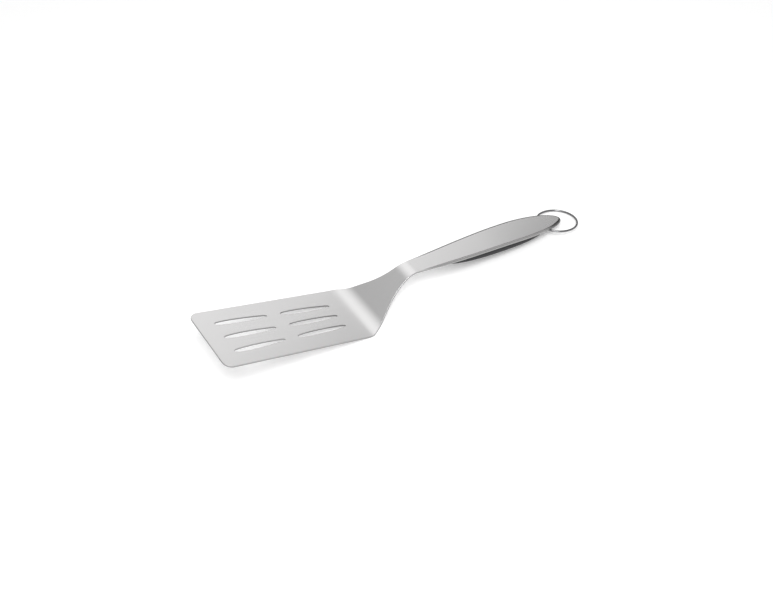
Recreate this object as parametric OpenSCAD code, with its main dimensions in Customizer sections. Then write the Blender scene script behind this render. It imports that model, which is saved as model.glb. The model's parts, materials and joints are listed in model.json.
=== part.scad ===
// Barbecue spatula, resting on a table on its heel bend and on the lug that holds its ring.
// +X runs from the blade to the handle, +Z is up, and z = 0 is the table.

/* [Blade] */
// Length of the flat blade, from its front edge to the heel bend
blade_l = 171.5; // [140:0.5:220]
// Width of the front edge
blade_front_w = 88; // [76:1:110]
// Width of the blade at the heel bend
blade_heel_w = 84; // [60:0.5:100]
// Radius of the two front corners
front_corner_r = 9.5; // [4:0.5:24]
// Thickness of the stamped sheet
sheet_t = 1.8; // [1.2:0.1:2.4]

/* [Slots] */
// Number of slots side by side
slot_rows = 3; // [1:1:3]
// Number of slots one behind the other
slot_columns = 2; // [1:1:2]
// Length of each slot
slot_l = 60.5; // [30:0.5:66]
// Width of each slot where it is widest
slot_w = 6.6; // [5.4:0.1:8]
// Radius of a slot's ends
slot_end_r = 1; // [0.5:0.1:1.5]
// Distance from the front edge to the first slots
slot_margin = 20.2; // [16:0.1:26]
// Land between the two columns of slots
slot_land = 16; // [8:0.5:20]
// Spacing of the rows at the first slots' front ends
row_gap_front = 22.5; // [19:0.5:25]
// Spacing of the rows where the last slots end
row_gap_rear = 17.3; // [14:0.1:22]

/* [Bends] */
// Radius of the heel bend, on the upper face
heel_r = 32; // [14:1:32]
// Angle that the neck rises from the blade
neck_a = 45.3; // [36:0.1:52]
// Length of the neck, from the heel's corner to the crest's
neck_l = 69.2; // [64:0.1:90]
// Radius of the crest, where the neck meets the handle
crest_r = 28; // [12:1:40]
// Angle of the handle to the blade
handle_a = 12.2; // [6:0.1:16]
// Length of the handle's straight run, from the crest's corner to the droop's
handle_l = 159.2; // [140:0.1:200]
// Angle of the handle's tip to the blade
tip_a = 5; // [2:0.1:5.8]
// Length of the handle behind the droop's corner
tail_l = 56.8; // [46:0.2:64]

/* [Neck and handle outline] */
// Radius of the rounded shoulder behind the heel
shoulder_r = 12; // [6:1:18]
// Radius of the fillet that leads into the neck
neck_fillet_r = 75; // [30:1:90]
// Width of the neck where it is narrowest
neck_w = 21.2; // [16:0.2:24]
// Width of the handle where it is widest
handle_w = 35.4; // [32:0.2:42]
// Depth of the turned-down rim of the handle
rim_d = 2.9; // [2.7:0.1:3.6]
// Height of the handle's tip, on its upper face, above the table
tip_h = 9.2; // [8.8:0.1:10.4]
// Radius of the rolled upper edge of the rim
roll_r = 2.6; // [2:0.1:2.7]

/* [Grip] */
// Length of the grip under the handle, with the core's end cap
grip_l = 137; // [100:0.5:145]
// Distance from the handle's tip to the grip
grip_inset = 28.6; // [28:0.1:40]
// Length of the core's end cap, behind the soft grip
cap_l = 8; // [6:0.5:12]
// Depth of the grip's belly below the handle's upper face
belly_d = 13.4; // [10:0.1:14]
// Thickness of the stiff core that carries the grip
core_t = 2.4; // [1.6:0.1:3]
// Clearance between the core and the sheet above it
bed_gap = 0.03; // [0.02:0.01:0.1]
// Clearance between the grip and the rim round it
grip_gap = 0.3; // [0.1:0.1:0.6]

/* [Hanging ring] */
// Outer diameter of the wire ring
ring_d = 49.6; // [46:0.1:56]
// Diameter of the ring's wire
wire_d = 2.4; // [1.6:0.1:2.4]
// Diameter of the hole that the ring passes through
ring_hole_d = 4.4; // [4:0.1:5]
// Distance of the hole from the handle's tip
ring_hole_inset = 26.8; // [26:0.1:30]
// Depth of the hole's centre below the handle's upper face
ring_hole_depth = 6.5; // [6:0.1:7]
// Width of the lug that the hole runs through
lug_w = 8; // [6:0.5:10]
// Angle that the ring rolls over to its far side, in its loose hole
ring_roll_a = 7; // [0:0.5:8]

/* [Hidden] */

// Facets of round forms, and steps along curved outlines
$fn = 64;
bend_steps = 10;
flank_steps = 14;
tip_steps = 12;
roll_steps = 4;
slot_steps = 18;
grip_steps = 20;
belly_steps = 8;
// How far cutting bodies and plain prisms run past the solids
overrun = 20;
// Height of the upright prisms that the plan outlines are drawn with
prism_h = neck_l + blade_front_w;
// Thickness of the slices that the rolled rim is spanned over
slice_t = 0.05;
// Where a slot is widest, along its length
slot_skew_share = 0.39;
// How full a slot's edges and the handle's flanks are
slot_fullness = 0.6;
flank_fullness = 1.94;
// Where the handle is widest, as a share of its length
widest_share = 0.665;
// Place of the shoulder, and of the neck's corner, as shares of the heel's and the neck's length
shoulder_share = 0.28;
neck_corner_share = 0.69;
// Depth of the rim where it starts, as a share of the sheet's thickness
rim_start_share = 1.1;
// Where the rim reaches its depth, as a share of the handle's length
rim_run_share = 0.22;
// How square the grip's ends, its belly and its sides are
grip_end_power = 5;
belly_power = 1.2;
side_power = 0.3;
// Depth of the grip's belly at its two ends, as a share of its full depth below the core
belly_end_share = 0.45;
// Depth of the lug's top in the core, as a share of the core's thickness
lug_top_share = 0.5;

// Directions and rounded corners

// Unit vector along a heading, and the one to its left
function along(a) = [cos(a), sin(a)];
function left_of(a) = [-sin(a), cos(a)];
function heading(p, q) = atan2(q[1] - p[1], q[0] - p[0]);
// Distance from a corner to where its rounding starts
function reach(r, turn) = r * tan(abs(turn) / 2);
// Points of the arc that rounds the corner at q, each with its heading
function rounded(p, q, s, r) =
    let (a0 = heading(p, q), turn = heading(q, s) - a0, side = sign(turn))
    let (centre = q - reach(r, turn) * along(a0) + side * r * left_of(a0))
    [for (k = [0:bend_steps])
        let (a = a0 + turn * k / bend_steps, at = centre - side * r * left_of(a))
        [at[0], at[1], a]];
// A closed outline, from the points of its upper half
function both_sides(half) =
    concat([for (p = half) [p[0], p[1]]],
        [for (k = [len(half) - 1:-1:0]) if (half[k][1] > 0) [half[k][0], -half[k][1]]]);

// The upper face's side line, in the blade's own plane, with the heel's corner at its origin

heel_reach = reach(heel_r, neck_a);
front_p = [-(heel_reach + blade_l), 0];
crest_p = neck_l * along(neck_a);
droop_p = crest_p + handle_l * along(handle_a);
tip_p = droop_p + tail_l * along(tip_a);
// The droop is one arc that ends at the tip
droop_r = tail_l / tan((handle_a - tip_a) / 2);
heel_centre = [-heel_reach, heel_r];

// The pose at rest, with the heel and the ring's lug both on the table

heel_outer_r = heel_r + sheet_t;
tip_offset = tip_p - heel_centre;
rest_a = heading([0, 0], tip_offset) + asin((heel_outer_r - tip_h) / norm(tip_offset));
function turned(p) = let (q = p - heel_centre) [q * along(rest_a), q * left_of(rest_a) + heel_outer_r];

// The ring's size and place, before the origin is centred

wire_r = wire_d / 2;
ring_r = ring_d / 2 - wire_r;
tip_arc_a = ring_hole_inset / droop_r * 180 / PI;
hole_a = tip_a + tip_arc_a;
hole_top = tip_p + droop_r * (left_of(hole_a) - left_of(tip_a));
hole_p = turned(hole_top - ring_hole_depth * left_of(hole_a));
tip_x = turned(tip_p)[0];
handle_x = turned(crest_p + reach(crest_r, neck_a - handle_a) * along(handle_a))[0];
widest_x = handle_x + widest_share * (tip_x - handle_x);

// Half the handle's width at x, for the outline moved inwards by inset
function flank_share(x) = 1 - pow(1 - (x - handle_x) / (widest_x - handle_x), flank_fullness);
function flank_w(x) = neck_w / 2 + (handle_w - neck_w) / 2 * flank_share(x);
function end_w(x, inset) =
    (handle_w / 2 - inset) * sqrt(max(0, 1 - pow((x - widest_x) / (tip_x - inset - widest_x), 2)));
function leaf_w(x, inset) = x < widest_x ? flank_w(x) - inset : end_w(x, inset);

// The ring leans down from its hole until its lowest point lies on the table
ring_drop = hole_p[1] - wire_r;
ring_roll_drop = ring_r * sin(ring_roll_a);
lean_square = pow(ring_drop, 2) - pow(ring_roll_drop, 2);
lean_root = sqrt(pow(ring_drop, 2) - lean_square * pow(sin(ring_roll_a), 2));
ring_lean_a = asin(lean_square / (ring_r * (ring_drop + lean_root)));
ring_reach = norm([cos(ring_lean_a), sin(ring_lean_a) * sin(ring_roll_a)]) * ring_r;
front_x = turned(front_p - [0, sheet_t])[0];
ring_end_x = hole_p[0] + ring_r * cos(ring_lean_a) + ring_reach + wire_r;
// The origin is centred between the front edge and the ring's far side
shift_x = -(front_x + ring_end_x) / 2;

// Side lines at rest

function at_rest(p) = turned(p) + [shift_x, 0];
// A point of the upper face, with its heading, moved down square to the face by a depth
function sunk(p, depth) = let (q = [p[0], p[1]] - depth * left_of(p[2])) at_rest(q);
heel_line = rounded(front_p, [0, 0], crest_p, heel_r);
crest_line = rounded([0, 0], crest_p, droop_p, crest_r);
droop_line = rounded(crest_p, droop_p, tip_p, droop_r);
strip_line = concat([[front_p[0], front_p[1], 0]], heel_line, crest_line);

handle_run = norm(droop_p - crest_p) - reach(crest_r, neck_a - handle_a) - tail_l;
droop_run = droop_r * (handle_a - tip_a) * PI / 180;
handle_all = handle_run + droop_run;
handle_start = crest_line[bend_steps];
// The upper face of the handle at a distance behind the crest
function handle_at(d) = d <= handle_run ? straight_at(d) : droop_at(d - handle_run);
function straight_at(d) =
    let (p = [handle_start[0], handle_start[1]] + d * along(handle_a)) [p[0], p[1], handle_a];
function droop_at(d) =
    let (a = handle_a - d / droop_r * 180 / PI, p = tip_p + droop_r * (left_of(a) - left_of(tip_a)))
    [p[0], p[1], a];
// The handle's line from a distance behind the crest, run on past the tip
function handle_from(d) = concat([handle_at(d)], droop_line, [handle_at(handle_all + overrun)]);

// Prisms and outlines

// A side shape, drawn in x and z, run across the whole width
module across(points) {
    rotate([90, 0, 0])
        linear_extrude(height = blade_front_w + overrun, center = true) polygon(points);
}
// A plan shape, drawn in x and y, run up through the whole height
module upright(points) {
    translate([0, 0, -overrun]) linear_extrude(height = prism_h) polygon(points);
}
// Places children that are drawn on the blade's upper face
module on_blade() {
    foot = at_rest([0, 0]);
    translate([foot[0], 0, foot[1]]) rotate([0, rest_a, 0]) children();
}
// The layer between two depths below a line of the upper face
function layer(line, from_d, to_d) =
    concat([for (p = line) sunk(p, from_d)], [for (k = [len(line) - 1:-1:0]) sunk(line[k], to_d)]);

// Plan of the blade, on its upper face, run a little way on under the heel
blade_side_a = atan((blade_front_w - blade_heel_w) / 2 / blade_l);
corner_y = blade_front_w / 2 - front_corner_r * (tan(blade_side_a) + 1 / cos(blade_side_a));
blade_half = concat(
    [for (k = [0:bend_steps])
        let (a = 180 - (90 + blade_side_a) * k / bend_steps)
        [front_p[0] + front_corner_r * (1 + cos(a)), corner_y + front_corner_r * sin(a)]],
    [[sheet_t - heel_reach, blade_heel_w / 2 - sheet_t * tan(blade_side_a)]]);

// Plan of the heel, neck and the handle's start, at rest
heel_start_x = at_rest([-heel_reach, 0])[0];
neck_end_x = handle_x + shift_x;
heel_span = (heel_outer_r - sheet_t) * (sin(rest_a) + sin(neck_a - rest_a));
shoulder_p = [heel_start_x + shoulder_share * heel_span, blade_heel_w / 2];
neck_corner_p = [heel_start_x + neck_corner_share * (neck_end_x - heel_start_x), neck_w / 2];
neck_half = concat(
    [[heel_start_x - sheet_t, blade_heel_w / 2]],
    rounded([heel_start_x, blade_heel_w / 2], shoulder_p, neck_corner_p, shoulder_r),
    rounded(shoulder_p, neck_corner_p, [neck_end_x, neck_w / 2], neck_fillet_r),
    [[neck_end_x + sheet_t, neck_w / 2]]);

// Plan of the handle, moved inwards by inset
function leaf_half(inset) = concat(
    [for (k = [0:flank_steps])
        let (x = handle_x + (widest_x - handle_x) * k / flank_steps)
        [x + shift_x, leaf_w(x, inset)]],
    [for (k = [1:tip_steps])
        let (a = 90 * k / tip_steps)
        [widest_x + shift_x + (tip_x - inset - widest_x) * sin(a), (handle_w / 2 - inset) * cos(a)]]);

// Slots

// Half a slot's width along its length, from 0 at the front end to 1 at the rear end
function slot_swell(s) = pow(sin(180 * pow(s, ln(0.5) / ln(slot_skew_share))), slot_fullness);
function slot_half_w(s) = slot_end_r + (slot_w / 2 - slot_end_r) * slot_swell(s);
function slot_edge(s, side) = [slot_end_r + s * (slot_l - 2 * slot_end_r), side * slot_half_w(s)];
module slot_cut() {
    edge = [for (k = [0:slot_steps]) k / slot_steps];
    translate([0, 0, -overrun]) linear_extrude(height = 2 * overrun) {
        polygon(concat([for (s = edge) slot_edge(s, 1)],
            [for (k = [slot_steps:-1:0]) slot_edge(edge[k], -1)]));
        translate([slot_end_r, 0]) circle(r = slot_end_r);
        translate([slot_l - slot_end_r, 0]) circle(r = slot_end_r);
    }
}
slots_l = slot_columns * slot_l + (slot_columns - 1) * slot_land;
row_fan_a = atan((row_gap_front - row_gap_rear) / slots_l);
module slots() {
    for (row = [0:slot_rows - 1], column = [0:slot_columns - 1]) {
        place = row - (slot_rows - 1) / 2;
        translate([front_p[0] + slot_margin, place * row_gap_front, 0])
            rotate([0, 0, -place * row_fan_a])
                translate([column * (slot_l + slot_land), 0, 0]) slot_cut();
    }
}

// Blade, neck and handle shell, stamped from one sheet

module strip() {
    intersection() {
        across(layer(concat(strip_line, [handle_at(sheet_t)]), 0, sheet_t));
        union() {
            on_blade() translate([0, 0, -overrun]) linear_extrude(height = 2 * overrun)
                polygon(both_sides(blade_half));
            upright(both_sides(neck_half));
        }
    }
}
// The handle's outer form, solid, with its rolled upper edge
module leaf_block() {
    hull() {
        for (k = [0:roll_steps]) {
            a = 90 * k / roll_steps;
            depth = roll_r * (1 - cos(a));
            intersection() {
                across(layer(handle_from(0), depth, k == roll_steps ? rim_d + sheet_t : depth + slice_t));
                upright(both_sides(leaf_half(roll_r * (1 - sin(a)))));
            }
        }
    }
}
// Everything above the line where the rim ends below
module above_rim_line() {
    start_d = rim_start_share * sheet_t;
    start = [sunk(handle_at(-overrun), start_d), sunk(handle_at(0), start_d)];
    run = [for (p = handle_from(rim_run_share * handle_all)) sunk(p, rim_d)];
    lid = [[tip_x + shift_x + overrun, prism_h], [start[0][0], prism_h]];
    across(concat(start, run, lid));
}
module handle_shell() {
    difference() {
        intersection() {
            leaf_block();
            above_rim_line();
        }
        intersection() {
            across(layer(handle_from(2 * sheet_t), sheet_t, overrun));
            upright(both_sides(leaf_half(sheet_t)));
        }
    }
}
module blade_and_handle() {
    color([0.78, 0.78, 0.79])
        difference() {
            union() {
                strip();
                handle_shell();
            }
            on_blade() slots();
        }
}

// Soft grip and its stiff core

grip_end_d = handle_all - grip_inset;
grip_start_d = grip_end_d - grip_l;
core_d = sheet_t + core_t;
// Shares of the grip's length, closer together at its two ends
grip_shares = [for (k = [0:grip_steps]) (1 - cos(180 * k / grip_steps)) / 2];
cap_share = 1 - cap_l / grip_l;
soft_shares = concat([for (v = grip_shares) if (v < cap_share) v], [cap_share]);
cap_shares = concat([cap_share + slice_t / grip_l], [for (v = grip_shares) if (v > cap_share) v]);
function grip_point(v) = handle_at(grip_start_d + v * grip_l);
function end_round(v) = pow(1 - pow(abs(2 * v - 1), grip_end_power), 1 / grip_end_power);
function grip_half_w(v) =
    let (x = turned(grip_point(v))[0]) (leaf_w(x, sheet_t + grip_gap)) * end_round(v);
function belly_swell(v) = belly_end_share + (1 - belly_end_share) * pow(4 * v * (1 - v), belly_power);
function belly_deep(v) = (belly_d - core_d) * belly_swell(v);

// A place in the grip's section at v, from its side and its depth
function in_section(v, y, depth) = let (p = sunk(grip_point(v), depth)) [p[0], y, p[1]];
// The section at v round a belly that is deep below the core, from one side to the other
function belly_ring(v, deep) =
    let (w = max(slice_t, grip_half_w(v)))
    [for (k = [0:belly_steps])
        let (a = 180 * k / belly_steps)
        in_section(v, w * sign(cos(a)) * pow(abs(cos(a)), side_power), core_d + deep * pow(sin(a), side_power))];
// The same section with the core's upper face closing it above
function core_ring(v, deep) =
    let (w = max(slice_t, grip_half_w(v)), top = sheet_t + bed_gap)
    concat([in_section(v, w, top)], belly_ring(v, deep), [in_section(v, -w, top)]);

// A solid through a row of sections with equal numbers of points
module lofted(rings) {
    n = len(rings[0]);
    last = len(rings) - 1;
    points = [for (r = rings) for (p = r) p];
    skin = [for (i = [0:last - 1], k = [0:n - 1])
        let (a = i * n + k, b = i * n + (k + 1) % n)
        each [[a, b, b + n], [a, b + n, a + n]]];
    caps = [[for (k = [n - 1:-1:0]) k], [for (k = [0:n - 1]) last * n + k]];
    polyhedron(points = points, faces = concat(skin, caps));
}
module soft_grip() {
    color([0.13, 0.13, 0.14]) lofted([for (v = soft_shares) belly_ring(v, belly_deep(v))]);
}

// Places children that run across the tool at the ring's hole
module at_ring_hole() {
    translate([hole_p[0] + shift_x, 0, hole_p[1]]) rotate([90, 0, 0]) children();
}
// The lug that the ring hangs in, down to the table
module ring_lug() {
    intersection() {
        across(layer([handle_at(grip_end_d - overrun), handle_at(handle_all)],
            sheet_t + lug_top_share * core_t, 2 * overrun));
        at_ring_hole() cylinder(r = hole_p[1], h = lug_w, center = true);
    }
}
module grip_core() {
    color([0.16, 0.16, 0.17])
        difference() {
            union() {
                lofted(concat([for (v = soft_shares) core_ring(v, 0)],
                    [for (v = cap_shares) core_ring(v, belly_deep(v))]));
                ring_lug();
            }
            at_ring_hole() cylinder(d = ring_hole_d, h = 2 * lug_w, center = true);
        }
}

// Hanging ring

module hanging_ring() {
    color([0.6, 0.6, 0.61])
        translate([hole_p[0] + shift_x, 0, hole_p[1]])
            rotate([0, ring_lean_a, 0])
                translate([ring_r, 0, 0])
                    rotate([-ring_roll_a, 0, 0])
                        rotate_extrude() translate([ring_r, 0]) circle(r = wire_r);
}

blade_and_handle();
grip_core();
soft_grip();
hanging_ring();
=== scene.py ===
"""Barbecue spatula: the dressed model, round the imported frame."""
import json
import math

import bmesh
import bpy
import numpy as np
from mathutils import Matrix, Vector
from mathutils.geometry import delaunay_2d_cdt
from mathutils.kdtree import KDTree


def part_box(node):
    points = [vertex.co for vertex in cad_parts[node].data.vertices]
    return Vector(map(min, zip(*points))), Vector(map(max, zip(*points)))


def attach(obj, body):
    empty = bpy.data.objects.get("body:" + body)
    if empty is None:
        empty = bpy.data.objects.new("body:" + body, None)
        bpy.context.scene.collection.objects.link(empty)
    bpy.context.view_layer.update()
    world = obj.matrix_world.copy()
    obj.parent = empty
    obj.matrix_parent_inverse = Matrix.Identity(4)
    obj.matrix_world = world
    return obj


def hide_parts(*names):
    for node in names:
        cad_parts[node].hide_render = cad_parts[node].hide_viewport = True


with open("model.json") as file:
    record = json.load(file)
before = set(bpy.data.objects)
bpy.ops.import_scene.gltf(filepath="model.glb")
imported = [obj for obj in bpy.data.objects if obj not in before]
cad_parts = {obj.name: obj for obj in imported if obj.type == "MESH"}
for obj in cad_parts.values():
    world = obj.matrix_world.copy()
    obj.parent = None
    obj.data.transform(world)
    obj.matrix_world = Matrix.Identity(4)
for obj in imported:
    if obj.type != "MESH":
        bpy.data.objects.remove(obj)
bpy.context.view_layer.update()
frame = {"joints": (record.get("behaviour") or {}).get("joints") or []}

# Sizes of the sheet, in metres and degrees
MM = 0.001
BLADE_L = 171.5 * MM
BLADE_FRONT_W = 88 * MM
BLADE_HEEL_W = 84 * MM
FRONT_CORNER_R = 9.5 * MM
SHEET_T = 1.8 * MM
HEEL_R = 32 * MM
NECK_A = 45.3
NECK_L = 69.2 * MM
CREST_R = 28 * MM
HANDLE_A = 12.2
HANDLE_L = 159.2 * MM
TIP_A = 5
TAIL_L = 56.8 * MM
SHOULDER_R = 12 * MM
NECK_FILLET_R = 75 * MM
NECK_W = 21.2 * MM
HANDLE_W = 35.4 * MM
RIM_D = 2.9 * MM
TIP_H = 9.2 * MM
ROLL_R = 2.6 * MM
# Where the shoulder's corner lies along the heel bend, the neck's corner from the heel to the handle
# and the handle's widest place from its start to its tip, how full its flanks are, and over what
# share of its length the rim grows to its depth
SHOULDER_SHARE = 0.28
NECK_CORNER_SHARE = 0.69
WIDEST_SHARE = 0.665
FLANK_FULLNESS = 1.94
RIM_RUN_SHARE = 0.22

# Slots, with how far along a slot its widest place lies and how full its sides are
SLOT_ROWS = 3
SLOT_COLUMNS = 2
SLOT_L = 60.5 * MM
SLOT_W = 6.6 * MM
SLOT_END_R = 1 * MM
SLOT_MARGIN = 20.2 * MM
SLOT_LAND = 16 * MM
ROW_GAP_FRONT = 22.5 * MM
ROW_GAP_REAR = 17.3 * MM
SLOT_SKEW_SHARE = 0.39
SLOT_FULLNESS = 0.6

# Grip and core, with how square the grip's ends are, how its belly swells along it and across it,
# and what share of its depth it keeps at its ends
GRIP_L = 137 * MM
GRIP_INSET = 28.6 * MM
CAP_L = 8 * MM
BELLY_D = 13.4 * MM
CORE_T = 2.4 * MM
BED_GAP = 0.03 * MM
GRIP_GAP = 0.3 * MM
GRIP_END_POWER = 5
BELLY_POWER = 1.2
SIDE_POWER = 0.3
BELLY_END_SHARE = 0.45
# What the mesh keeps of width and depth at the grip's ends, how far in from their sides the upper
# faces of the grip and of the core end, and the most that this takes of half the width
LEAST_HALF_W = 0.15 * MM
LEAST_BELLY_D = 0.12 * MM
GRIP_LIP = 0.6 * MM
CORE_LIP = 0.3 * MM
LIP_SHARE = 1 / 3
CAP_SHARE = 1 - CAP_L / GRIP_L
# How far the soft grip's edge is eased where it meets the core's end cap
SEAM_EASE = 0.3 * MM
# How much shorter the end cap is than its solid, to stay clear of the ring when that hangs down
CAP_EASE = 0.4 * MM

# Lug and ring, with the slight neck that the ring's butt weld leaves in its wire
LUG_W = 8 * MM
LUG_EDGE = 0.5 * MM
RING_D = 49.6 * MM
WIRE_D = 2.4 * MM
RING_HOLE_D = 4.4 * MM
RING_ROLL_A = 7
WELD_A = 148
WELD_L = 0.5 * MM
WELD_NECK = 0.10

# Edges of the sheet: their rounding where they are cut and inside the rim, how far the roll takes to
# form, and how much of the edge's depth is left under it
CUT_R = 0.35 * MM
SLOT_EDGE_R = 0.3 * MM
HOLLOW_R = ROLL_R - SHEET_T
ROLL_RUN = 26 * MM
EDGE_LEFT = 1.2 * CUT_R
# How deep the rim is when its inner side has turned in
TURNED_IN_D = SHEET_T / 3
# The rim's painted shade, which darkens its rolled edge: how much of it the near side takes, how far its
# outward direction has to lean to one side to count as near or far, where before the tip it starts to
# go all round and where it does
NEAR_SHADE = 0.7
FAR_TURN = 0.5
TIP_FROM = 38 * MM
TIP_FULL = 16 * MM
# How late the painted shade, with the roll's gloss and the cut's roughness, sets in on the roll and on a
# cut edge, as a power, and how wide it fades out on the face
NEAR_ONSET = 3.0
FAR_ONSET = 0.0
CUT_ONSET = 1.5
SHADE_FADE = 0.6 * MM

# Spacing of the mesh along outlines and over faces, and the most that it turns in one step
OUTLINE_STEP = 1.5 * MM
FACE_STEP = 3 * MM
OUTLINE_TURN = 7
SLOT_TURN = 14
FACE_TURN = 2
# How far the faces' own points keep from an edge, on the blade and on the handle
BLADE_CLEAR = SHEET_T + 0.8 * MM
HANDLE_CLEAR = ROLL_R + 1 * MM
# Points of the side line's table, and points and steps of what the outlines are first drawn with
LINE_POINTS = 4000
CURVE_POINTS = 260
SLOT_POINTS = 160
STRAIGHT_STEP = 0.5 * MM
CORNER_STEPS = 24
ROUNDED_STEPS = 16
SLOT_END_STEPS = 12
# Steps of a quarter turn over the roll and over a small rounding
ROLL_STEPS = 6
SMALL_STEPS = 3
# Steps along the grip, across its belly, round the lug, round the ring and round its wire
GRIP_STEPS = 72
BELLY_STEPS = 40
LUG_STEPS = 96
RING_STEPS = 240
WIRE_STEPS = 24
# How far the wire and the lug stay inside their solids, and what keeps two rows or sections of a
# mesh apart where it steps
HAIR = 0.01 * MM
# Points closer than this are one point
ONE_POINT = 0.001 * MM
# A bend below this is straight, and a vector below it has no length
TINY = 1e-9


def unit(a):
    """Unit vector along a heading in degrees."""
    return np.array([math.cos(math.radians(a)), math.sin(math.radians(a))])


def left(a):
    """Unit vector to the left of a heading in degrees."""
    return np.array([-math.sin(math.radians(a)), math.cos(math.radians(a))])


def reach(r, turn):
    """Distance from a corner to where its rounding starts."""
    return r * math.tan(math.radians(abs(turn) / 2))


def heading(p, q):
    """Heading from p to q in degrees."""
    return math.degrees(math.atan2(q[1] - p[1], q[0] - p[0]))


def smooth(t):
    """0 below 0, 1 above 1, and a soft step between."""
    t = np.clip(t, 0, 1)
    return t * t * (3 - 2 * t)


def quarter_turn(steps):
    """The angles of a quarter turn in equal steps: each in degrees, with its sine and cosine."""
    angles = [90 * k / steps for k in range(steps + 1)]
    return [(a, math.sin(math.radians(a)), math.cos(math.radians(a))) for a in angles]


class SideLine:
    """The upper face seen from the side: straight and round runs, from the front edge to the tip."""

    def __init__(self, start, start_a, runs):
        self.runs = []
        p, a, s = np.array(start, float), math.radians(start_a), 0.0
        for length, turn in runs:
            bend = math.radians(turn) / length
            self.runs.append((s, p.copy(), a, bend))
            p = p + self._move(a, bend, length)
            a += bend * length
            s += length
        self.length = s
        self.table = np.linspace(0, self.length, LINE_POINTS)
        self.table_x = self.at(self.table)[0]

    @staticmethod
    def _move(a, bend, d):
        """The way made over a distance d from where the heading is a."""
        if abs(bend) < TINY:
            return np.stack([d * np.cos(a), d * np.sin(a)])
        b = a + bend * d
        return np.stack([(np.sin(b) - np.sin(a)) / bend, (np.cos(a) - np.cos(b)) / bend])

    def at(self, s):
        """Place and heading (x, z, radians) at distances s; the last run goes on past the tip."""
        s = np.atleast_1d(np.asarray(s, float))
        x, z, h = np.zeros_like(s), np.zeros_like(s), np.zeros_like(s)
        for k, (s0, p, a, bend) in enumerate(self.runs):
            last = k == len(self.runs) - 1
            end = np.inf if last else self.runs[k + 1][0]
            here = (s >= s0 if k else s > -np.inf) & (s < end)
            d = s[here] - s0
            move = self._move(a, bend, d)
            x[here], z[here], h[here] = p[0] + move[0], p[1] + move[1], a + bend * d
        return x, z, h

    def s_of_x(self, x):
        """The distance at which the line passes x."""
        return np.interp(x, self.table_x, self.table)


# The side line at rest, worked out as the construction does
neck_turn = NECK_A
crest_turn = HANDLE_A - NECK_A
droop_turn = TIP_A - HANDLE_A
heel_reach = reach(HEEL_R, neck_turn)
crest_reach = reach(CREST_R, crest_turn)
droop_r = TAIL_L / math.tan(math.radians(abs(droop_turn) / 2))
front_p = np.array([-(heel_reach + BLADE_L), 0])
crest_p = NECK_L * unit(NECK_A)
tip_p = crest_p + HANDLE_L * unit(HANDLE_A) + TAIL_L * unit(TIP_A)
heel_centre = np.array([-heel_reach, HEEL_R])
heel_outer_r = HEEL_R + SHEET_T
tip_offset = tip_p - heel_centre
rest_a = heading((0, 0), tip_offset) + math.degrees(
    math.asin((heel_outer_r - TIP_H) / np.linalg.norm(tip_offset)))


def turned(p):
    """A point of the construction turned about the heel bend to rest, still to be shifted along x."""
    q = np.asarray(p) - heel_centre
    return np.array([q @ unit(rest_a), q @ left(rest_a) + heel_outer_r])


blade_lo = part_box("blade_and_handle")[0]
shift_x = blade_lo.x - turned(front_p - np.array([0, SHEET_T]))[0]
front = turned(front_p) + np.array([shift_x, 0])
# Length and turn of each run: blade, heel bend, neck, crest, handle, droop to the tip
RUNS = [
    (BLADE_L, 0),
    (HEEL_R * math.radians(neck_turn), neck_turn),
    (NECK_L - heel_reach - crest_reach, 0),
    (CREST_R * math.radians(-crest_turn), crest_turn),
    (HANDLE_L - crest_reach - TAIL_L, 0),
    (droop_r * math.radians(-droop_turn), droop_turn),
]
# How many of them come before the handle
RUNS_TO_HANDLE = 4
line = SideLine(front, -rest_a, RUNS)
handle_s = sum(length for length, turn in RUNS[:RUNS_TO_HANDLE])
handle_all = line.length - handle_s
heel_x = line.at(BLADE_L)[0][0]
handle_x = line.at(handle_s)[0][0]
tip_x = line.at(line.length)[0][0]
widest_x = handle_x + WIDEST_SHARE * (tip_x - handle_x)
hinge = frame["joints"][0]["pos_m"]


def leaf_w(x, inset=0.0):
    """Half the handle's width at x, less an inset all round."""
    x = np.asarray(x, float)
    to_widest = np.clip(1 - (x - handle_x) / (widest_x - handle_x), 0, None)
    grown = 1 - np.power(to_widest, FLANK_FULLNESS)
    flank = NECK_W / 2 + (HANDLE_W - NECK_W) / 2 * grown - inset
    end = (HANDLE_W / 2 - inset) * np.sqrt(
        np.clip(1 - ((x - widest_x) / (tip_x - inset - widest_x)) ** 2, 0, None))
    return np.where(x < widest_x, flank, end)


# Outlines on the flat sheet, in s along it and y across it


def rounded(p, q, s, r):
    """Points of the arc that rounds the corner at q, between the lines from p and to s."""
    a0 = heading(p, q)
    turn = heading(q, s) - a0
    side = 1 if turn > 0 else -1
    centre = np.asarray(q) - reach(r, turn) * unit(a0) + side * r * left(a0)
    shares = [k / ROUNDED_STEPS for k in range(ROUNDED_STEPS + 1)]
    return [centre - side * r * left(a0 + turn * share) for share in shares]


def straight(p, q):
    """Points from p up to, but without, q."""
    p, q = np.asarray(p), np.asarray(q)
    n = max(2, int(np.hypot(*(q - p)) / STRAIGHT_STEP))
    return [p + (q - p) * k / n for k in range(n)]


def blade_side():
    """From the middle of the front edge round the corner to the heel, as (s, y)."""
    side_a = math.degrees(math.atan((BLADE_FRONT_W - BLADE_HEEL_W) / 2 / BLADE_L))
    side_r = math.radians(side_a)
    corner_y = BLADE_FRONT_W / 2 - FRONT_CORNER_R * (math.tan(side_r) + 1 / math.cos(side_r))
    centre = np.array([FRONT_CORNER_R, corner_y])
    corner = [
        centre + FRONT_CORNER_R * unit(180 - (90 + side_a) * k / CORNER_STEPS)
        for k in range(CORNER_STEPS + 1)]
    heel = np.array([BLADE_L, BLADE_HEEL_W / 2])
    return straight((0, 0), (0, corner_y)) + corner + straight(corner[-1], heel)


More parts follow.
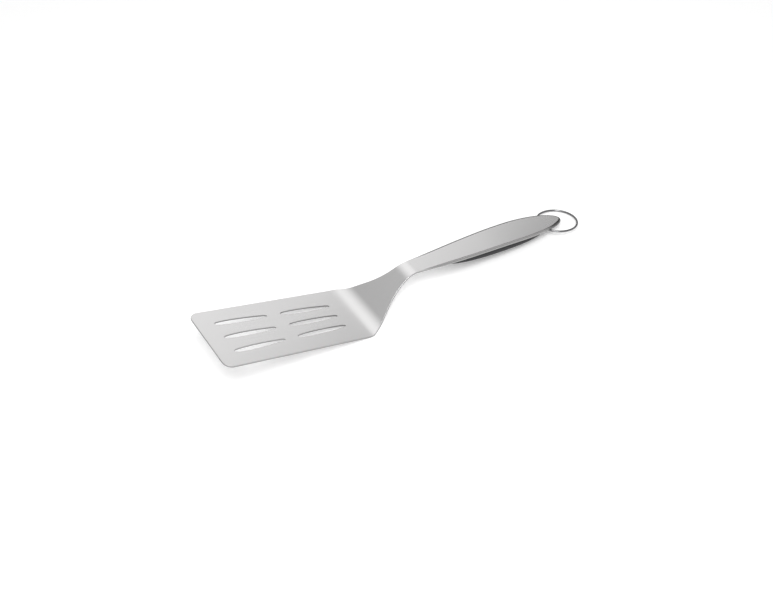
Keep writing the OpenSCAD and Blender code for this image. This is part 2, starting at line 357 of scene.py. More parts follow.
def neck_side():
    """From the heel over the shoulder and along the neck to the handle, as (x, y)."""
    heel_span = HEEL_R * (
        math.sin(math.radians(rest_a)) + math.sin(math.radians(NECK_A - rest_a)))
    heel = (heel_x, BLADE_HEEL_W / 2)
    shoulder = (heel_x + SHOULDER_SHARE * heel_span, BLADE_HEEL_W / 2)
    corner = (heel_x + NECK_CORNER_SHARE * (handle_x - heel_x), NECK_W / 2)
    neck_end = (handle_x, NECK_W / 2)
    first = rounded(heel, shoulder, corner, SHOULDER_R)
    second = rounded(shoulder, corner, neck_end, NECK_FILLET_R)
    to_first = straight(heel, first[0])
    between = straight(first[-1], second[0])[1:]
    to_end = straight(second[-1], neck_end)[1:]
    return to_first + first + between + second + to_end


def handle_side():
    """The handle's flank up to its widest place and its round end, as (x, y)."""
    flank_x = np.linspace(handle_x, widest_x, CURVE_POINTS)
    flank = [np.array([x, leaf_w(x)]) for x in flank_x]
    end = [
        np.array([widest_x + (tip_x - widest_x) * math.sin(a), HANDLE_W / 2 * math.cos(a)])
        for a in np.linspace(0, math.pi / 2, CURVE_POINTS)[1:]]
    return flank + end


def half_outline():
    """The sheet's outline from the middle of the front edge to the tip, on its +Y side, as (s, y)."""
    plan = np.array(neck_side() + handle_side())
    plan[:, 0] = line.s_of_x(plan[:, 0])
    half = np.vstack([np.array(blade_side()), plan])
    # The tip lies on the sheet's middle line
    half[-1, 1] = 0
    apart = np.hypot(*np.diff(half, axis=0).T) > ONE_POINT
    return half[np.r_[True, apart]]


def respaced(points, step, turn):
    """The same line with points no further apart than step and turn (degrees) allow."""
    d = np.diff(points, axis=0)
    run = np.hypot(*d.T)
    a = np.unwrap(np.arctan2(d[:, 1], d[:, 0]))
    bend = np.r_[np.abs(np.diff(a)), 0]
    cost = np.r_[0, np.cumsum(np.maximum(run / step, np.degrees(bend) / turn))]
    n = int(math.ceil(cost[-1]))
    want = np.linspace(0, cost[-1], n + 1)
    return np.c_[np.interp(want, cost, points[:, 0]), np.interp(want, cost, points[:, 1])]


def inward(loop):
    """Unit normals of a closed loop towards the sheet, which is on its right."""
    d = np.roll(loop, -1, 0) - loop
    d /= np.linalg.norm(d, axis=1)[:, None]
    t = d + np.roll(d, 1, 0)
    t /= np.linalg.norm(t, axis=1)[:, None]
    return np.c_[t[:, 1], -t[:, 0]]


def sheet_outline():
    """The sheet's whole outline, clockwise, so that the sheet is on its right."""
    half = respaced(half_outline(), OUTLINE_STEP, OUTLINE_TURN)
    return np.vstack([half, half[-2:0:-1] * [1, -1]])


def slot_half_w(share):
    """Half a slot's width at shares of its length."""
    swell = np.sin(math.pi * np.power(share, math.log(0.5) / math.log(SLOT_SKEW_SHARE)))
    grown = np.power(np.clip(swell, 0, None), SLOT_FULLNESS)
    return SLOT_END_R + (SLOT_W / 2 - SLOT_END_R) * grown


def slot_outline(row, column):
    """One slot's outline on the flat sheet, counter-clockwise, so that the sheet is on its right."""
    share = np.linspace(0, 1, SLOT_POINTS)
    x = SLOT_END_R + share * (SLOT_L - 2 * SLOT_END_R)
    upper = np.c_[x, slot_half_w(share)]
    lower = np.c_[x, -slot_half_w(share)]
    cap = [SLOT_END_R * unit(90 - 180 * k / SLOT_END_STEPS) for k in range(1, SLOT_END_STEPS)]
    rear = [np.array([SLOT_L - SLOT_END_R, 0]) + p for p in cap]
    front_cap = [np.array([SLOT_END_R, 0]) - p for p in cap]
    closed = np.vstack([upper, rear, lower[::-1], front_cap, upper[:1]])
    loop = respaced(closed, OUTLINE_STEP, SLOT_TURN)[:-1][::-1]
    loop[:, 0] += column * (SLOT_L + SLOT_LAND)
    place = row - (SLOT_ROWS - 1) / 2
    slots_l = SLOT_COLUMNS * SLOT_L + (SLOT_COLUMNS - 1) * SLOT_LAND
    fan = -place * math.atan((ROW_GAP_FRONT - ROW_GAP_REAR) / slots_l)
    c, s = math.cos(fan), math.sin(fan)
    return loop @ np.array([[c, s], [-s, c]]) + [SLOT_MARGIN, place * ROW_GAP_FRONT]


def inside(points, loop):
    """Which points lie inside a closed loop."""
    x, y = points[:, 0][:, None], points[:, 1][:, None]
    a, b = loop, np.roll(loop, -1, 0)
    crosses = (a[:, 1] > y) != (b[:, 1] > y)
    with np.errstate(divide="ignore", invalid="ignore"):
        at = a[:, 0] + (y - a[:, 1]) / (b[:, 1] - a[:, 1]) * (b[:, 0] - a[:, 0])
    return (np.sum(crosses & (x < at), axis=1) % 2) == 1


# From the flat sheet to its place


def frames(s):
    """At distances s: place, tangent, normal, the way up for depths, and how much the edge is rolled."""
    x, z, h = line.at(s)
    zero = np.zeros_like(h)
    tangent = np.c_[np.cos(h), zero, np.sin(h)]
    normal = np.c_[-np.sin(h), zero, np.cos(h)]
    rolled = smooth((np.atleast_1d(s) - handle_s) / ROLL_RUN)[:, None]
    plumb = np.c_[zero, zero, 1 / np.cos(h)]
    up = normal * (1 - rolled) + plumb * rolled
    return np.c_[x, zero, z], tangent, normal, up, rolled


def placed(flat, depth):
    """Points in the row frame for flat points (s, y) at a depth under the upper face."""
    p, _, _, up, _ = frames(flat[:, 0])
    p = p - up * np.broadcast_to(depth, len(flat))[:, None]
    p[:, 1] = flat[:, 1]
    return p


def rim_depth(s):
    """Depth of the sheet's edge: its thickness on blade and neck, the turned-down rim behind."""
    return SHEET_T + (RIM_D - SHEET_T) * smooth((s - handle_s) / handle_all / RIM_RUN_SHARE)


def edge_rows(s):
    """The edge's profile at each outline point: rows of inset, depth and turn of the normal (degrees).

    It goes from the face over the roll, round the edge's foot, up the rim's inner side and through
    the hollow to the underside.
    """
    same = 0 * s
    deep = rim_depth(s)
    rim = deep - SHEET_T
    roll = CUT_R + (ROLL_R - CUT_R) * smooth((s - handle_s) / ROLL_RUN)
    roll = np.minimum(roll, deep - EDGE_LEFT)
    foot_in = np.minimum(CUT_R, rim / 2)
    hollow_in = np.minimum(HOLLOW_R, rim / 2)
    turned_in = smooth(rim / TURNED_IN_D)
    rows = [(roll + SHADE_FADE, same, same)]
    for a, sine, cosine in quarter_turn(ROLL_STEPS):
        rows.append((roll * (1 - sine), roll * (1 - cosine), a + same))
    for a, sine, cosine in quarter_turn(SMALL_STEPS):
        rows.append((CUT_R * (1 - cosine) + same, deep - CUT_R * (1 - sine), 90 + a + same))
    for a, sine, cosine in quarter_turn(SMALL_STEPS):
        inset = SHEET_T - CUT_R * (1 - sine) + same
        rows.append((inset, deep - foot_in * (1 - cosine), 180 + a * turned_in))
    for a, sine, cosine in quarter_turn(SMALL_STEPS):
        inset = SHEET_T + HAIR + HOLLOW_R * (1 - cosine) + same
        rows.append((inset, SHEET_T + hollow_in * (1 - sine), 180 + (90 - a) * turned_in))
    return rows


def slot_rows(n):
    """The same for a slot's plain cut edge with n outline points."""
    r = SLOT_EDGE_R
    rows = []
    for a, sine, cosine in quarter_turn(SMALL_STEPS):
        rows.append((r * (1 - sine), r * (1 - cosine), a))
    for a, sine, cosine in quarter_turn(SMALL_STEPS):
        rows.append((r * (1 - cosine), SHEET_T - r * (1 - sine), 90 + a))
    return [tuple(np.full(n, value) for value in row) for row in rows]


def smooth_mesh(name, points, faces):
    """A mesh of these points and faces, shaded smooth."""
    me = bpy.data.meshes.new(name)
    me.from_pydata(points, [], faces)
    me.polygons.foreach_set("use_smooth", [True] * len(me.polygons))
    me.update()
    return me


# What the sheet's mesh hands to its material: flat coordinates, the rim's share of gloss and painted
# shade, and the cut's share of roughness and painted shade
SHEET_UV = "sheet"
POLISH_AND_SHADE = "polish"
CUT = "cut"


class Builder:
    """Gathers faces, and vertices with their normals, flat coordinates and shares of the rim's gloss and
    painted shade and of the cut.
    """

    def __init__(self):
        self.points, self.normals, self.flats, self.polish, self.cut = [], [], [], [], []
        self.faces = []
        self.count = 0

    def add(self, points, normals, flats, polish, cut):
        """Takes in vertices and returns their numbers."""
        first = self.count
        self.points.append(points)
        self.normals.append(normals)
        self.flats.append(flats)
        self.polish.append(np.broadcast_to(polish, len(points)))
        self.cut.append(np.broadcast_to(cut, len(points)))
        self.count += len(points)
        return np.arange(first, self.count)

    def strip(self, upper, lower):
        """Quads between two closed rows of the same length."""
        n = len(upper)
        for i in range(n):
            j = (i + 1) % n
            self.faces.append((upper[i], upper[j], lower[j], lower[i]))

    def mesh(self, name):
        """The finished mesh, smooth, with its own normals, flat coordinates, and the rim's and the cut's
        shares of gloss, roughness and painted shade.
        """
        faces = [tuple(int(i) for i in face) for face in self.faces]
        me = smooth_mesh(name, np.vstack(self.points).tolist(), faces)
        corners = np.zeros(len(me.loops), np.int32)
        me.loops.foreach_get("vertex_index", corners)
        uv = me.uv_layers.new(name=SHEET_UV)
        uv.data.foreach_set("uv", np.vstack(self.flats)[corners].astype(np.float32).ravel())
        for label, values in ((POLISH_AND_SHADE, self.polish), (CUT, self.cut)):
            attribute = me.attributes.new(label, "FLOAT", "POINT")
            attribute.data.foreach_set("value", np.concatenate(values).astype(np.float32))
        me.normals_split_custom_set(np.vstack(self.normals)[corners].tolist())
        me.update()
        return me


def rim_shade(s, out):
    """How much painted shade the rim takes, its gloss with it: full on its far side and round the tip,
    less on its near side.
    """
    far = smooth(0.5 + out[:, 1] / 2 / FAR_TURN)
    to_tip = smooth((s - line.length + TIP_FROM) / (TIP_FROM - TIP_FULL))
    return NEAR_SHADE + (1 - NEAR_SHADE) * np.maximum(far, to_tip)


def add_edge(build, loop, rows):
    """The rows round one outline. Returns the rows' vertex numbers, the first row on top."""
    to_inside = inward(loop)
    _, tangent, normal, _, rolled = frames(loop[:, 0])
    out = -(tangent * to_inside[:, :1])
    out[:, 1] -= to_inside[:, 1]
    level = out * [1, 1, 0]
    level /= np.maximum(np.linalg.norm(level, axis=1), TINY)[:, None]
    out = out * (1 - rolled) + level * rolled
    along_handle = rolled[:, 0]
    # How much painted shade the rim takes at each point, most on the far side and round the tip
    shade = rim_shade(loop[:, 0], level)
    onset = NEAR_ONSET * (1 - shade) + FAR_ONSET * shade
    made = []
    for k, (inset, depth, turn) in enumerate(rows):
        flat = loop + to_inside * inset[:, None]
        a = np.radians(turn)[:, None]
        n = normal * np.cos(a) + out * np.sin(a)
        n /= np.linalg.norm(n, axis=1)[:, None]
        around = np.c_[flat[:, 0], flat[:, 1] - np.sign(to_inside[:, 1]) * depth]
        steep = np.abs(np.sin(a[:, 0]))
        # The first row lies on the face and stays bare, so that the painted shade fades out there
        polish = steep ** onset * along_handle * shade if k else 0.0
        # The cut's share of painted shade and of roughness, on the walls of the blade's outline and of
        # the slots
        cut = steep ** CUT_ONSET * (1 - along_handle)
        made.append(build.add(placed(flat, depth), n, around, polish, cut))
    return made


# What the triangulation is asked for: triangles inside the outermost loop, and its tolerance in mm
INSIDE_ONLY = 1
CDT_TOLERANCE = 1e-6


def fill(build, loops, grid, depth, up):
    """Triangles over a face of the sheet between loops, each a list of vertex numbers and flat places.

    Up is 1 for the upper face and -1 for the underside.
    """
    flat = np.vstack([places for _, places in loops] + [grid])
    _, _, normal, _, _ = frames(grid[:, 0])
    own = build.add(placed(grid, depth), normal * up, grid, 0.0, 0.0)
    numbers = np.concatenate([row for row, _ in loops] + [own])
    edges = []
    first = 0
    for _, places in loops:
        n = len(places)
        edges += [(first + i, first + (i + 1) % n) for i in range(n)]
        first += n
    corners = [Vector(p) for p in (flat / MM).tolist()]
    result = delaunay_2d_cdt(corners, edges, [], INSIDE_ONLY, CDT_TOLERANCE)
    faces, sources = result[2], result[3]
    tris = np.array([[sources[i][0] for i in face] for face in faces])
    middle = flat[tris].mean(1)
    keep = inside(middle, loops[0][1])
    for _, hole in loops[1:]:
        keep &= ~inside(middle, hole)
    for a, b, c in tris[keep]:
        face = (numbers[a], numbers[b], numbers[c])
        build.faces.append(face if up > 0 else face[::-1])


def face_grid(outline, slots):
    """Points spread over the sheet, closer together where it bends, clear of its edges."""
    s = [0.0]
    bends = [(s0, bend) for s0, _, _, bend in line.runs]
    while s[-1] < line.length:
        bend = abs([b for s0, b in bends if s0 <= s[-1]][-1])
        step = FACE_STEP if bend < TINY else min(FACE_STEP, math.radians(FACE_TURN) / bend)
        s.append(s[-1] + step)
    across = np.arange(-BLADE_FRONT_W / 2, BLADE_FRONT_W / 2 + FACE_STEP, FACE_STEP)
    stagger = (0, 0.5 * FACE_STEP)
    grid = np.array([(a, y + stagger[k % 2]) for k, a in enumerate(s) for y in across])
    grid = grid[inside(grid, outline)]
    for hole in slots:
        grid = grid[~inside(grid, hole)]
    edge = np.vstack([outline] + slots)
    tree = KDTree(len(edge))
    for k, p in enumerate(edge):
        tree.insert((p[0], p[1], 0), k)
    tree.balance()
    clear = np.array([tree.find((p[0], p[1], 0))[2] for p in grid])
    on_handle = grid[:, 0] > handle_s - ROLL_RUN / 2
    return grid[clear > np.where(on_handle, HANDLE_CLEAR, BLADE_CLEAR)]


def blade_and_handle_mesh():
    """The whole sheet: its outer edge and the slots' edges, then the two faces between them."""
    build = Builder()
    outline = sheet_outline()
    slots = [slot_outline(row, column) for row in range(SLOT_ROWS) for column in range(SLOT_COLUMNS)]
    grid = face_grid(outline, slots)
    profiles = [(outline, edge_rows(outline[:, 0]))]
    profiles += [(loop, slot_rows(len(loop))) for loop in slots]
    top, bottom = [], []
    for loop, profile in profiles:
        rows = add_edge(build, loop, profile)
        for upper, lower in zip(rows, rows[1:]):
            build.strip(upper, lower)
        to_inside = inward(loop)
        top.append((rows[0], loop + to_inside * profile[0][0][:, None]))
        bottom.append((rows[-1], loop + to_inside * profile[-1][0][:, None]))
    fill(build, top, grid, 0, 1)
    fill(build, bottom, grid, SHEET_T, -1)
    return build.mesh("blade_and_handle_sheet")


# Grip and core


def grip_station(v):
    """At a share v of the grip's length: distance on the side line, half width, depth of its belly."""
    v = np.float64(v)
    s = line.length - GRIP_INSET - GRIP_L * (1 - v)
    x = line.at(s)[0]
    around = np.power(1 - np.power(np.abs(2 * v - 1), GRIP_END_POWER), 1 / GRIP_END_POWER)
    w = np.maximum(leaf_w(x, SHEET_T + GRIP_GAP) * around, LEAST_HALF_W)
    core = SHEET_T + CORE_T
    swell = BELLY_END_SHARE + (1 - BELLY_END_SHARE) * np.power(4 * v * (1 - v), BELLY_POWER)
    return float(s), float(w[0]), float(core + (BELLY_D - core) * swell)


def grip_shares():
    """Shares of the grip's length, closer together at its two ends."""
    return [(1 - math.cos(math.pi * k / GRIP_STEPS)) / 2 for k in range(GRIP_STEPS + 1)]


def section_in_place(s, profile):
    """A section given as (y, depth), set square to the side line at s."""
    x, z, h = (value[0] for value in line.at(s))
    y, depth = np.asarray(profile).T
    return np.c_[x + depth * math.sin(h), y, z - depth * math.cos(h)]


def belly(w, top, deep):
    """A section's underside from one side to the other, as (y, depth), deep below its top."""
    points = []
    for j in range(BELLY_STEPS + 1):
        a = math.pi * j / BELLY_STEPS
        y = -w * math.copysign(abs(math.cos(a)) ** SIDE_POWER, math.cos(a))
        points.append((y, top + max(LEAST_BELLY_D, deep * math.sin(a) ** SIDE_POWER)))
    return points


def grip_section(v, ease=0.0):
    """The soft grip's section at a share of its length, smaller all round by ease."""
    s, w, deep = grip_station(v)
    w = max(LEAST_HALF_W, w - ease)
    top = SHEET_T + CORE_T
    lip = min(GRIP_LIP, w * LIP_SHARE)
    profile = [(-w + lip, top)] + belly(w, top, deep - top - ease) + [(w - lip, top)]
    return section_in_place(s, profile)


def grip_sections():
    """The soft grip from the handle's start to its eased seam with the end cap."""
    full = [v for v in grip_shares() if v < CAP_SHARE - 2 * SEAM_EASE / GRIP_L]
    sections = [grip_section(v) for v in full + [CAP_SHARE - SEAM_EASE / GRIP_L]]
    return sections + [grip_section(CAP_SHARE, SEAM_EASE)]


def core_section(v, capped):
    """The core's section at a share of the grip's length: its plate, and the end cap's belly."""
    s, w, deep = grip_station(v)
    lip = min(CORE_LIP, w * LIP_SHARE)
    top, low = SHEET_T + BED_GAP, SHEET_T + CORE_T
    under = belly(w, low - LEAST_BELLY_D, deep - low if capped else 0)
    near = [(-w + lip, top), (-w, top + lip)]
    far = [(w, top + lip), (w - lip, top)]
    return section_in_place(s, near + under + far)


def core_sections():
    """The plate from the handle's start, the step down to the end cap, and the cap."""
    plate = [core_section(v, False) for v in grip_shares() if v < CAP_SHARE]
    plate.append(core_section(CAP_SHARE, False))
    cap_start = CAP_SHARE + HAIR / GRIP_L
    short = 1 - CAP_EASE / CAP_L
    cap_shares = [v for v in grip_shares() if v > cap_start]
    cap = [core_section(CAP_SHARE + (v - CAP_SHARE) * short, True) for v in cap_shares]
    return plate + [core_section(cap_start, True)] + cap


def lofted(name, sections):
    """A closed mesh through sections of the same number of points, its ends capped."""
    n = len(sections[0])
    faces = []
    for i in range(len(sections) - 1):
        for k in range(n):
            j = (k + 1) % n
            faces.append((i * n + k, i * n + j, (i + 1) * n + j, (i + 1) * n + k))
    faces.append(tuple(range(n - 1, -1, -1)))
    faces.append(tuple((len(sections) - 1) * n + k for k in range(n)))
    return smooth_mesh(name, np.vstack(sections).tolist(), faces)


def lug_rings():
    """The ring's lug as sections round its hole: flat on top, eased edges, down to the table."""
    half = LUG_W / 2 - HAIR
    hole_r = RING_HOLE_D / 2
    _, z, h = (float(value[0]) for value in line.at(line.s_of_x(hinge[0])))
    top_gap = (z - hinge[2]) * math.cos(h) - SHEET_T - CORE_T / 2
    rings = []
    for k in range(LUG_STEPS):
        a = 2 * math.pi * k / LUG_STEPS
        rise = math.sin(a - h)
        outer = hinge[2] - HAIR
        if rise > 0:
            outer = min(outer, top_gap / rise)
        profile = [
            (outer - LUG_EDGE, half), (outer, half - LUG_EDGE),
            (outer, LUG_EDGE - half), (outer - LUG_EDGE, -half),
            (hole_r + LUG_EDGE, -half), (hole_r, LUG_EDGE - half),
            (hole_r, half - LUG_EDGE), (hole_r + LUG_EDGE, half)]
        c, s = math.cos(a), math.sin(a)
        rings.append([(hinge[0] + r * c, y, hinge[2] + r * s) for r, y in profile])
    return rings


def core_mesh():
    """The core in one mesh: its plate with the end cap, and the lug."""
    me = lofted("core_plate_and_lug", core_sections())
    shape = bmesh.new()
    shape.from_mesh(me)
    rings = [[shape.verts.new(p) for p in ring] for ring in lug_rings()]
    for k, ring in enumerate(rings):
        after = rings[(k + 1) % len(rings)]
        for i in range(len(ring)):
            j = (i + 1) % len(ring)
            shape.faces.new((ring[i], ring[j], after[j], after[i]))
    shape.normal_update()
    shape.to_mesh(me)
    shape.free()
    return me


# Ring


def ring_mesh():
    """The closed wire ring, with the slight neck of its butt weld."""
    lo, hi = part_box("hanging_ring")
    centre = (lo + hi) / 2
    lean = math.atan2(hinge[2] - centre.z, centre.x - hinge[0])
    roll = math.radians(RING_ROLL_A)
    wire_r = WIRE_D / 2 - HAIR
    ring_r = (RING_D - WIRE_D) / 2
    points = []
    for i in range(RING_STEPS):
        a = 2 * math.pi * i / RING_STEPS
        off_weld = (a - math.radians(WELD_A)) * ring_r
        own_r = wire_r * (1 - WELD_NECK * math.exp(-(off_weld / WELD_L) ** 2))
        for k in range(WIRE_STEPS):
            b = 2 * math.pi * k / WIRE_STEPS
            r = ring_r + own_r * math.cos(b)
            x, y, z = r * math.cos(a), r * math.sin(a), own_r * math.sin(b)
            y, z = y * math.cos(roll) + z * math.sin(roll), z * math.cos(roll) - y * math.sin(roll)
            x, z = x * math.cos(lean) + z * math.sin(lean), z * math.cos(lean) - x * math.sin(lean)
            points.append((x + centre.x, y, z + centre.z))
    faces = []
    for i in range(RING_STEPS):
        here, after = i * WIRE_STEPS, (i + 1) % RING_STEPS * WIRE_STEPS
        for k in range(WIRE_STEPS):
            m = (k + 1) % WIRE_STEPS
            faces.append((here + k, after + k, after + m, here + m))
    return smooth_mesh("ring_wire", points, faces)


# Materials


class Nodes:
    """The shader nodes of a material or a world. Their inputs take values or other nodes' outputs.

    A Mix node's inputs are told apart by number, because each kind of mix has its own A and B.
    """

    def __init__(self, owner):
        owner.use_nodes = True
        self.tree = owner.node_tree

    def feed(self, node, inputs):
        """Sets or links the named or numbered inputs of a node."""
        for key, value in inputs.items():
            if isinstance(value, bpy.types.NodeSocket):
                self.tree.links.new(value, node.inputs[key])
            else:
                node.inputs[key].default_value = value

    def new(self, kind, inputs, **settings):
        """Makes a node and returns its outputs."""
        node = self.tree.nodes.new("ShaderNode" + kind)
        for key, value in settings.items():
            setattr(node, key, value)
        self.feed(node, inputs)
        return node.outputs

    def mix(self, share, a, b):
        """A value that goes from a to b."""
        return self.new("Mix", {0: share, 2: a, 3: b})[0]

    def mix_colour(self, share, a, b):
        """A colour that goes from a to b."""
        return self.new("Mix", {0: share, 6: a, 7: b}, data_type="RGBA")[2]

    def spread(self, value, low, high):
        """A value from 0 to 1 spread from low to high."""
        return self.new("MapRange", {"Value": value, "To Min": low, "To Max": high})[0]


def material(name):
    """A new material with its nodes and its surface shader."""
    mat = bpy.data.materials.new(name)
    nodes = Nodes(mat)
    return mat, nodes, nodes.tree.nodes["Principled BSDF"]


def tinted(colour, factor=1.0):
    """A shader's colour: this one times a factor."""
    return (*(c * factor for c in colour), 1)


# Brushed steel: how many times a metre its fine lines, streaks and patches repeat along the sheet
# and across it, how fine they are, how much the streaks count beside the lines and the grain of
# both beside the patches, and what is left of the tone in a patch
LINES_PER_M = (18, 5200, 1)
STREAKS_PER_M = (9, 420, 1)
PATCHES_PER_M = (14, 26, 1)
LINES_DETAIL = 2.0
STREAKS_DETAIL = 3.0
STREAK_SHARE = 0.45
GRAIN_SHARE = 0.5
PATCH_TONE = (0.97, 0.965, 0.965)
# How much smoother and rougher its grain gets, and the roughness of rolled and of cut edges
SMOOTHER = 0.05
ROUGHER = 0.07
ROLL_ROUGH = 0.2
CUT_ROUGH = 0.5
# How much of the faces' colour the sheet's sheared walls and its rolled edges keep under their painted
# shade
CUT_PAINTED_SHADE = 0.4
ROLL_PAINTED_SHADE = 0.2
# The grain's bump, and how far it stretches reflections across itself
BRUSH_BUMP = 0.12
BRUSH_DEPTH = 0.02 * MM
BRUSH_STRETCH = 0.35


def brushed_steel(name, base, rough):
    """Brushed stainless steel: fine lines and faint streaks along it, a glossy roll and dull cuts, both
    darkened by painted shade.
    """
    mat, nodes, surface = material(name)
    place = nodes.new("UVMap", {}, uv_map=SHEET_UV)[0]

    def stretched_noise(per_m, detail):
        """A noise stretched along the sheet."""
        stretched = nodes.new("Mapping", {"Vector": place, "Scale": per_m})[0]
        return nodes.new("TexNoise", {"Vector": stretched, "Scale": 1.0, "Detail": detail})[0]

    polish = nodes.new("Attribute", {}, attribute_name=POLISH_AND_SHADE)["Fac"]
    cut = nodes.new("Attribute", {}, attribute_name=CUT)["Fac"]
    lines = stretched_noise(LINES_PER_M, LINES_DETAIL)
    streaks = stretched_noise(STREAKS_PER_M, STREAKS_DETAIL)
    patches = stretched_noise(PATCHES_PER_M, LINES_DETAIL)
    grain = nodes.mix(STREAK_SHARE, lines, streaks)

    brushed = nodes.spread(grain, rough - SMOOTHER, rough + ROUGHER)
    rolled = nodes.mix(polish, brushed, ROLL_ROUGH)
    roughness = nodes.mix(cut, rolled, CUT_ROUGH)

    patch = (*(c * p for c, p in zip(base, PATCH_TONE)), 1)
    faces = nodes.mix_colour(nodes.mix(GRAIN_SHARE, patches, grain), patch, tinted(base))
    # Painted shade on the cut walls of the outline and the slots: their colour darkened
    with_shaded_cuts = nodes.mix_colour(cut, faces, tinted(base, CUT_PAINTED_SHADE))
    # Painted shade on the rolled rim: its colour darkened, most on the far side and round the tip
    colour = nodes.mix_colour(polish, with_shaded_cuts, tinted(base, ROLL_PAINTED_SHADE))

    bump = nodes.new("Bump", {"Strength": BRUSH_BUMP, "Distance": BRUSH_DEPTH, "Height": grain})[0]
    along = nodes.new("Tangent", {}, direction_type="UV_MAP", uv_map=SHEET_UV)[0]
    nodes.feed(surface, {
        "Base Color": colour, "Roughness": roughness, "Normal": bump, "Tangent": along,
        "Metallic": 1.0, "Anisotropic": BRUSH_STRETCH})
    return mat


# Detail of the noises in wire and polymer
BLOTCH_DETAIL = 3.0

# Drawn wire: its noise, in blotches per metre, its roughness from and to, and its bump
WIRE_PER_M = 900.0
WIRE_ROUGH = (0.16, 0.30)
WIRE_BUMP = 0.1
WIRE_DEPTH = 0.02 * MM


def drawn_wire(name, base):
    """Polished drawn wire: smooth, with a faint unevenness."""
    mat, nodes, surface = material(name)
    place = nodes.new("TexCoord", {})["Object"]
    noise = nodes.new("TexNoise", {"Vector": place, "Scale": WIRE_PER_M, "Detail": BLOTCH_DETAIL})[0]
    bump = nodes.new("Bump", {"Strength": WIRE_BUMP, "Distance": WIRE_DEPTH, "Height": noise})[0]
    nodes.feed(surface, {
        "Base Color": tinted(base), "Roughness": nodes.spread(noise, *WIRE_ROUGH),
        "Normal": bump, "Metallic": 1.0})
    return mat


# Moulded polymer: the haze that varies its gloss and tone, in blotches per metre, how much it
# varies them, its pits' bump, and how much it shines
HAZE_PER_M = 60.0
HAZE_ROUGH = 0.08
HAZE_TONE = 0.15
PIT_BUMP = 0.35
POLYMER_SHEEN = 0.4


def soft_polymer(name, base, rough, pits_per_m, depth):
    """Moulded dark polymer: a fine even grain of pits and a slightly uneven gloss."""
    mat, nodes, surface = material(name)
    place = nodes.new("TexCoord", {})["Object"]
    pits = nodes.new("TexVoronoi", {"Vector": place, "Scale": pits_per_m})[0]
    haze = nodes.new("TexNoise", {"Vector": place, "Scale": HAZE_PER_M, "Detail": BLOTCH_DETAIL})[0]
    roughness = nodes.spread(haze, rough - HAZE_ROUGH, rough + HAZE_ROUGH)
    colour = nodes.mix_colour(haze, tinted(base, 1 - HAZE_TONE), tinted(base, 1 + HAZE_TONE))
    bump = nodes.new("Bump", {"Strength": PIT_BUMP, "Distance": depth, "Height": pits})[0]
    nodes.feed(surface, {
        "Base Color": colour, "Roughness": roughness, "Normal": bump,
        "Specular IOR Level": POLYMER_SHEEN})
    return mat


STEEL = brushed_steel("brushed_sheet_steel", base=(0.80, 0.795, 0.795), rough=0.23)
WIRE = drawn_wire("drawn_ring_wire", base=(0.22, 0.22, 0.225))
CORE = soft_polymer(
    "moulded_core", base=(0.035, 0.035, 0.038), rough=0.45, pits_per_m=2600.0, depth=0.04 * MM)
RUBBER = soft_polymer(
    "soft_touch_grip", base=(0.022, 0.022, 0.024), rough=0.62, pits_per_m=1900.0, depth=0.06 * MM)


# The pieces


def piece(name, mesh, mat, body, node):
    """A finished piece that stands for a node of the frame."""
    obj = bpy.data.objects.new(name, mesh)
    bpy.context.scene.collection.objects.link(obj)
    mesh.materials.append(mat)
    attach(obj, body)
    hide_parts(node)


piece("brushed_blade_and_handle", blade_and_handle_mesh(), STEEL, "spatula",
      "blade_and_handle")
piece("moulded_grip_core", core_mesh(), CORE, "spatula",
      "grip_core")
piece("soft_touch_grip", lofted("grip_belly", grip_sections()), RUBBER, "spatula",
      "soft_grip")
piece("wire_hanging_ring", ring_mesh(), WIRE, "ring",
      "hanging_ring")


# Stage and light

TABLE_HALF = 3.0
TABLE_TONE = (0.88, 0.88, 0.88)
TABLE_ROUGH = 0.7
TABLE_SHEEN = 0.2
# What the table glows with, as a light table does
TABLE_GLOW = 0.21
WHITE = (1, 1, 1, 1)
# The studio's dome on the side away from the camera: its grey against the cosine of the angle from
# its dark side, which is 36 degrees up beyond the tip
DARK_SIDE = (0.807, 0, 0.591)
DOME = (
    (0.0, 0.46), (0.12, 0.53), (0.28, 0.7), (0.42, 0.9), (0.55, 1.04),
    (0.73, 1.08), (0.765, 1.04), (0.79, 0.84), (0.812, 0.72), (0.828, 0.3), (1.0, 0.08))
# What that grey is multiplied by, against the sine of the height, from the horizon to overhead
HEIGHTS = (
    (0.0, 0.06), (0.22, 0.3), (0.35, 0.95), (0.43, 1.05),
    (0.56, 0.88), (0.64, 0.94), (0.74, 1.05), (1.0, 1.05))
# The even grey of its half on the camera's side, and the y of the directions where that half begins
# and where it is full
FRONT_GREY = 0.65
FRONT_FROM = 0.4
FRONT_TO = -0.2
# The softbox: its place, its size and how bright it is
KEY_PLACE = (-0.40, -0.65, 1.30)
KEY_SIZE = (0.8, 0.7)
KEY_RADIANCE = 9.2


def table():
    """A plain white table that glows faintly."""
    t = TABLE_HALF
    me = bpy.data.meshes.new("table")
    me.from_pydata([(-t, -t, 0), (t, -t, 0), (t, t, 0), (-t, t, 0)], [], [(0, 1, 2, 3)])
    obj = bpy.data.objects.new("table", me)
    bpy.context.scene.collection.objects.link(obj)
    mat, nodes, surface = material("white_table")
    nodes.feed(surface, {
        "Base Color": tinted(TABLE_TONE), "Roughness": TABLE_ROUGH,
        "Specular IOR Level": TABLE_SHEEN,
        "Emission Color": WHITE, "Emission Strength": TABLE_GLOW})
    me.materials.append(mat)


def greys(nodes, source, stops):
    """A grey that follows stops of (value, grey)."""
    node = nodes.tree.nodes.new("ShaderNodeValToRGB")
    nodes.feed(node, {0: source})
    elements = node.color_ramp.elements
    # New elements start in the middle and are moved to their places below
    while len(elements) < len(stops):
        elements.new(0.5)
    for element, (value, grey) in zip(elements, stops):
        element.position = value
        element.color = (grey, grey, grey, 1)
    return node.outputs[0]


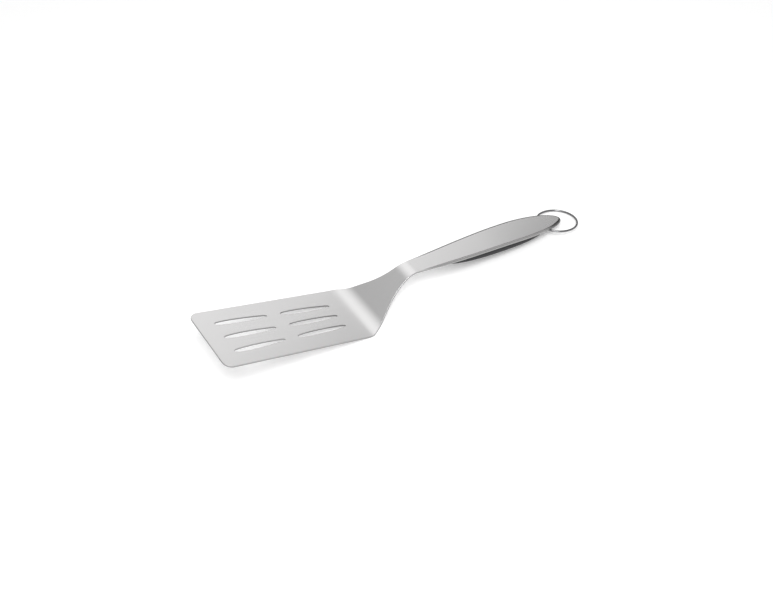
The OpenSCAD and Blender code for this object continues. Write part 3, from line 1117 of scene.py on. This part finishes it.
def dome():
    """The studio round the tool: a shaded half beyond it and an even half on the camera's side."""
    world = bpy.data.worlds.new("studio")
    bpy.context.scene.world = world
    nodes = Nodes(world)
    way = nodes.new("TexCoord", {})["Generated"]
    split = nodes.new("SeparateXYZ", {0: way})
    to_dark = nodes.new("VectorMath", {0: way, 1: DARK_SIDE}, operation="DOT_PRODUCT")["Value"]
    front = nodes.new(
        "MapRange", {"Value": split["Y"], "From Min": FRONT_FROM, "From Max": FRONT_TO},
        interpolation_type="SMOOTHSTEP")[0]
    shaded = nodes.new(
        "Math", {0: greys(nodes, to_dark, DOME), 1: greys(nodes, split["Z"], HEIGHTS)},
        operation="MULTIPLY")[0]
    strength = nodes.mix(front, shaded, FRONT_GREY)
    nodes.feed(nodes.tree.nodes["Background"], {"Strength": strength, "Color": WHITE})


def softbox():
    """One soft rectangular light over the table, with its power worked out from its brightness."""
    light = bpy.data.lights.new("key_softbox", "AREA")
    light.shape = "RECTANGLE"
    light.size, light.size_y = KEY_SIZE
    light.energy = KEY_RADIANCE * math.pi * KEY_SIZE[0] * KEY_SIZE[1]
    obj = bpy.data.objects.new("key_softbox", light)
    bpy.context.scene.collection.objects.link(obj)
    obj.location = KEY_PLACE
    obj.rotation_mode = "QUATERNION"
    obj.rotation_quaternion = (-Vector(KEY_PLACE)).to_track_quat("-Z", "Y")


# Camera, which looks at a point on the table measured from where the heel bend rests

AIM_X = 38.409 * MM
AIM_Y = -1.674 * MM
CAMERA_DISTANCE = 1338.67 * MM
CAMERA_AZIMUTH = 32.204
CAMERA_ELEVATION = 44.269
FOCAL_PIXELS = 1220
FRAME_WIDTH_PIXELS = 773
SENSOR_WIDTH = 36
NEAREST = 0.01
FARTHEST = 50


def camera():
    """The photograph's camera."""
    data = bpy.data.cameras.new("camera")
    data.sensor_width = SENSOR_WIDTH
    data.lens = FOCAL_PIXELS / FRAME_WIDTH_PIXELS * SENSOR_WIDTH
    data.clip_start, data.clip_end = NEAREST, FARTHEST
    obj = bpy.data.objects.new("camera", data)
    bpy.context.scene.collection.objects.link(obj)
    a, e = math.radians(CAMERA_AZIMUTH), math.radians(CAMERA_ELEVATION)
    back = Vector((-math.sin(a) * math.cos(e), -math.cos(a) * math.cos(e), math.sin(e)))
    obj.location = Vector((shift_x + AIM_X, AIM_Y, 0)) + back * CAMERA_DISTANCE
    obj.rotation_mode = "QUATERNION"
    obj.rotation_quaternion = (-back).to_track_quat("-Z", "Y")
    bpy.context.scene.camera = obj


table()
dome()
softbox()
camera()
bpy.context.scene.view_settings.view_transform = "Standard"
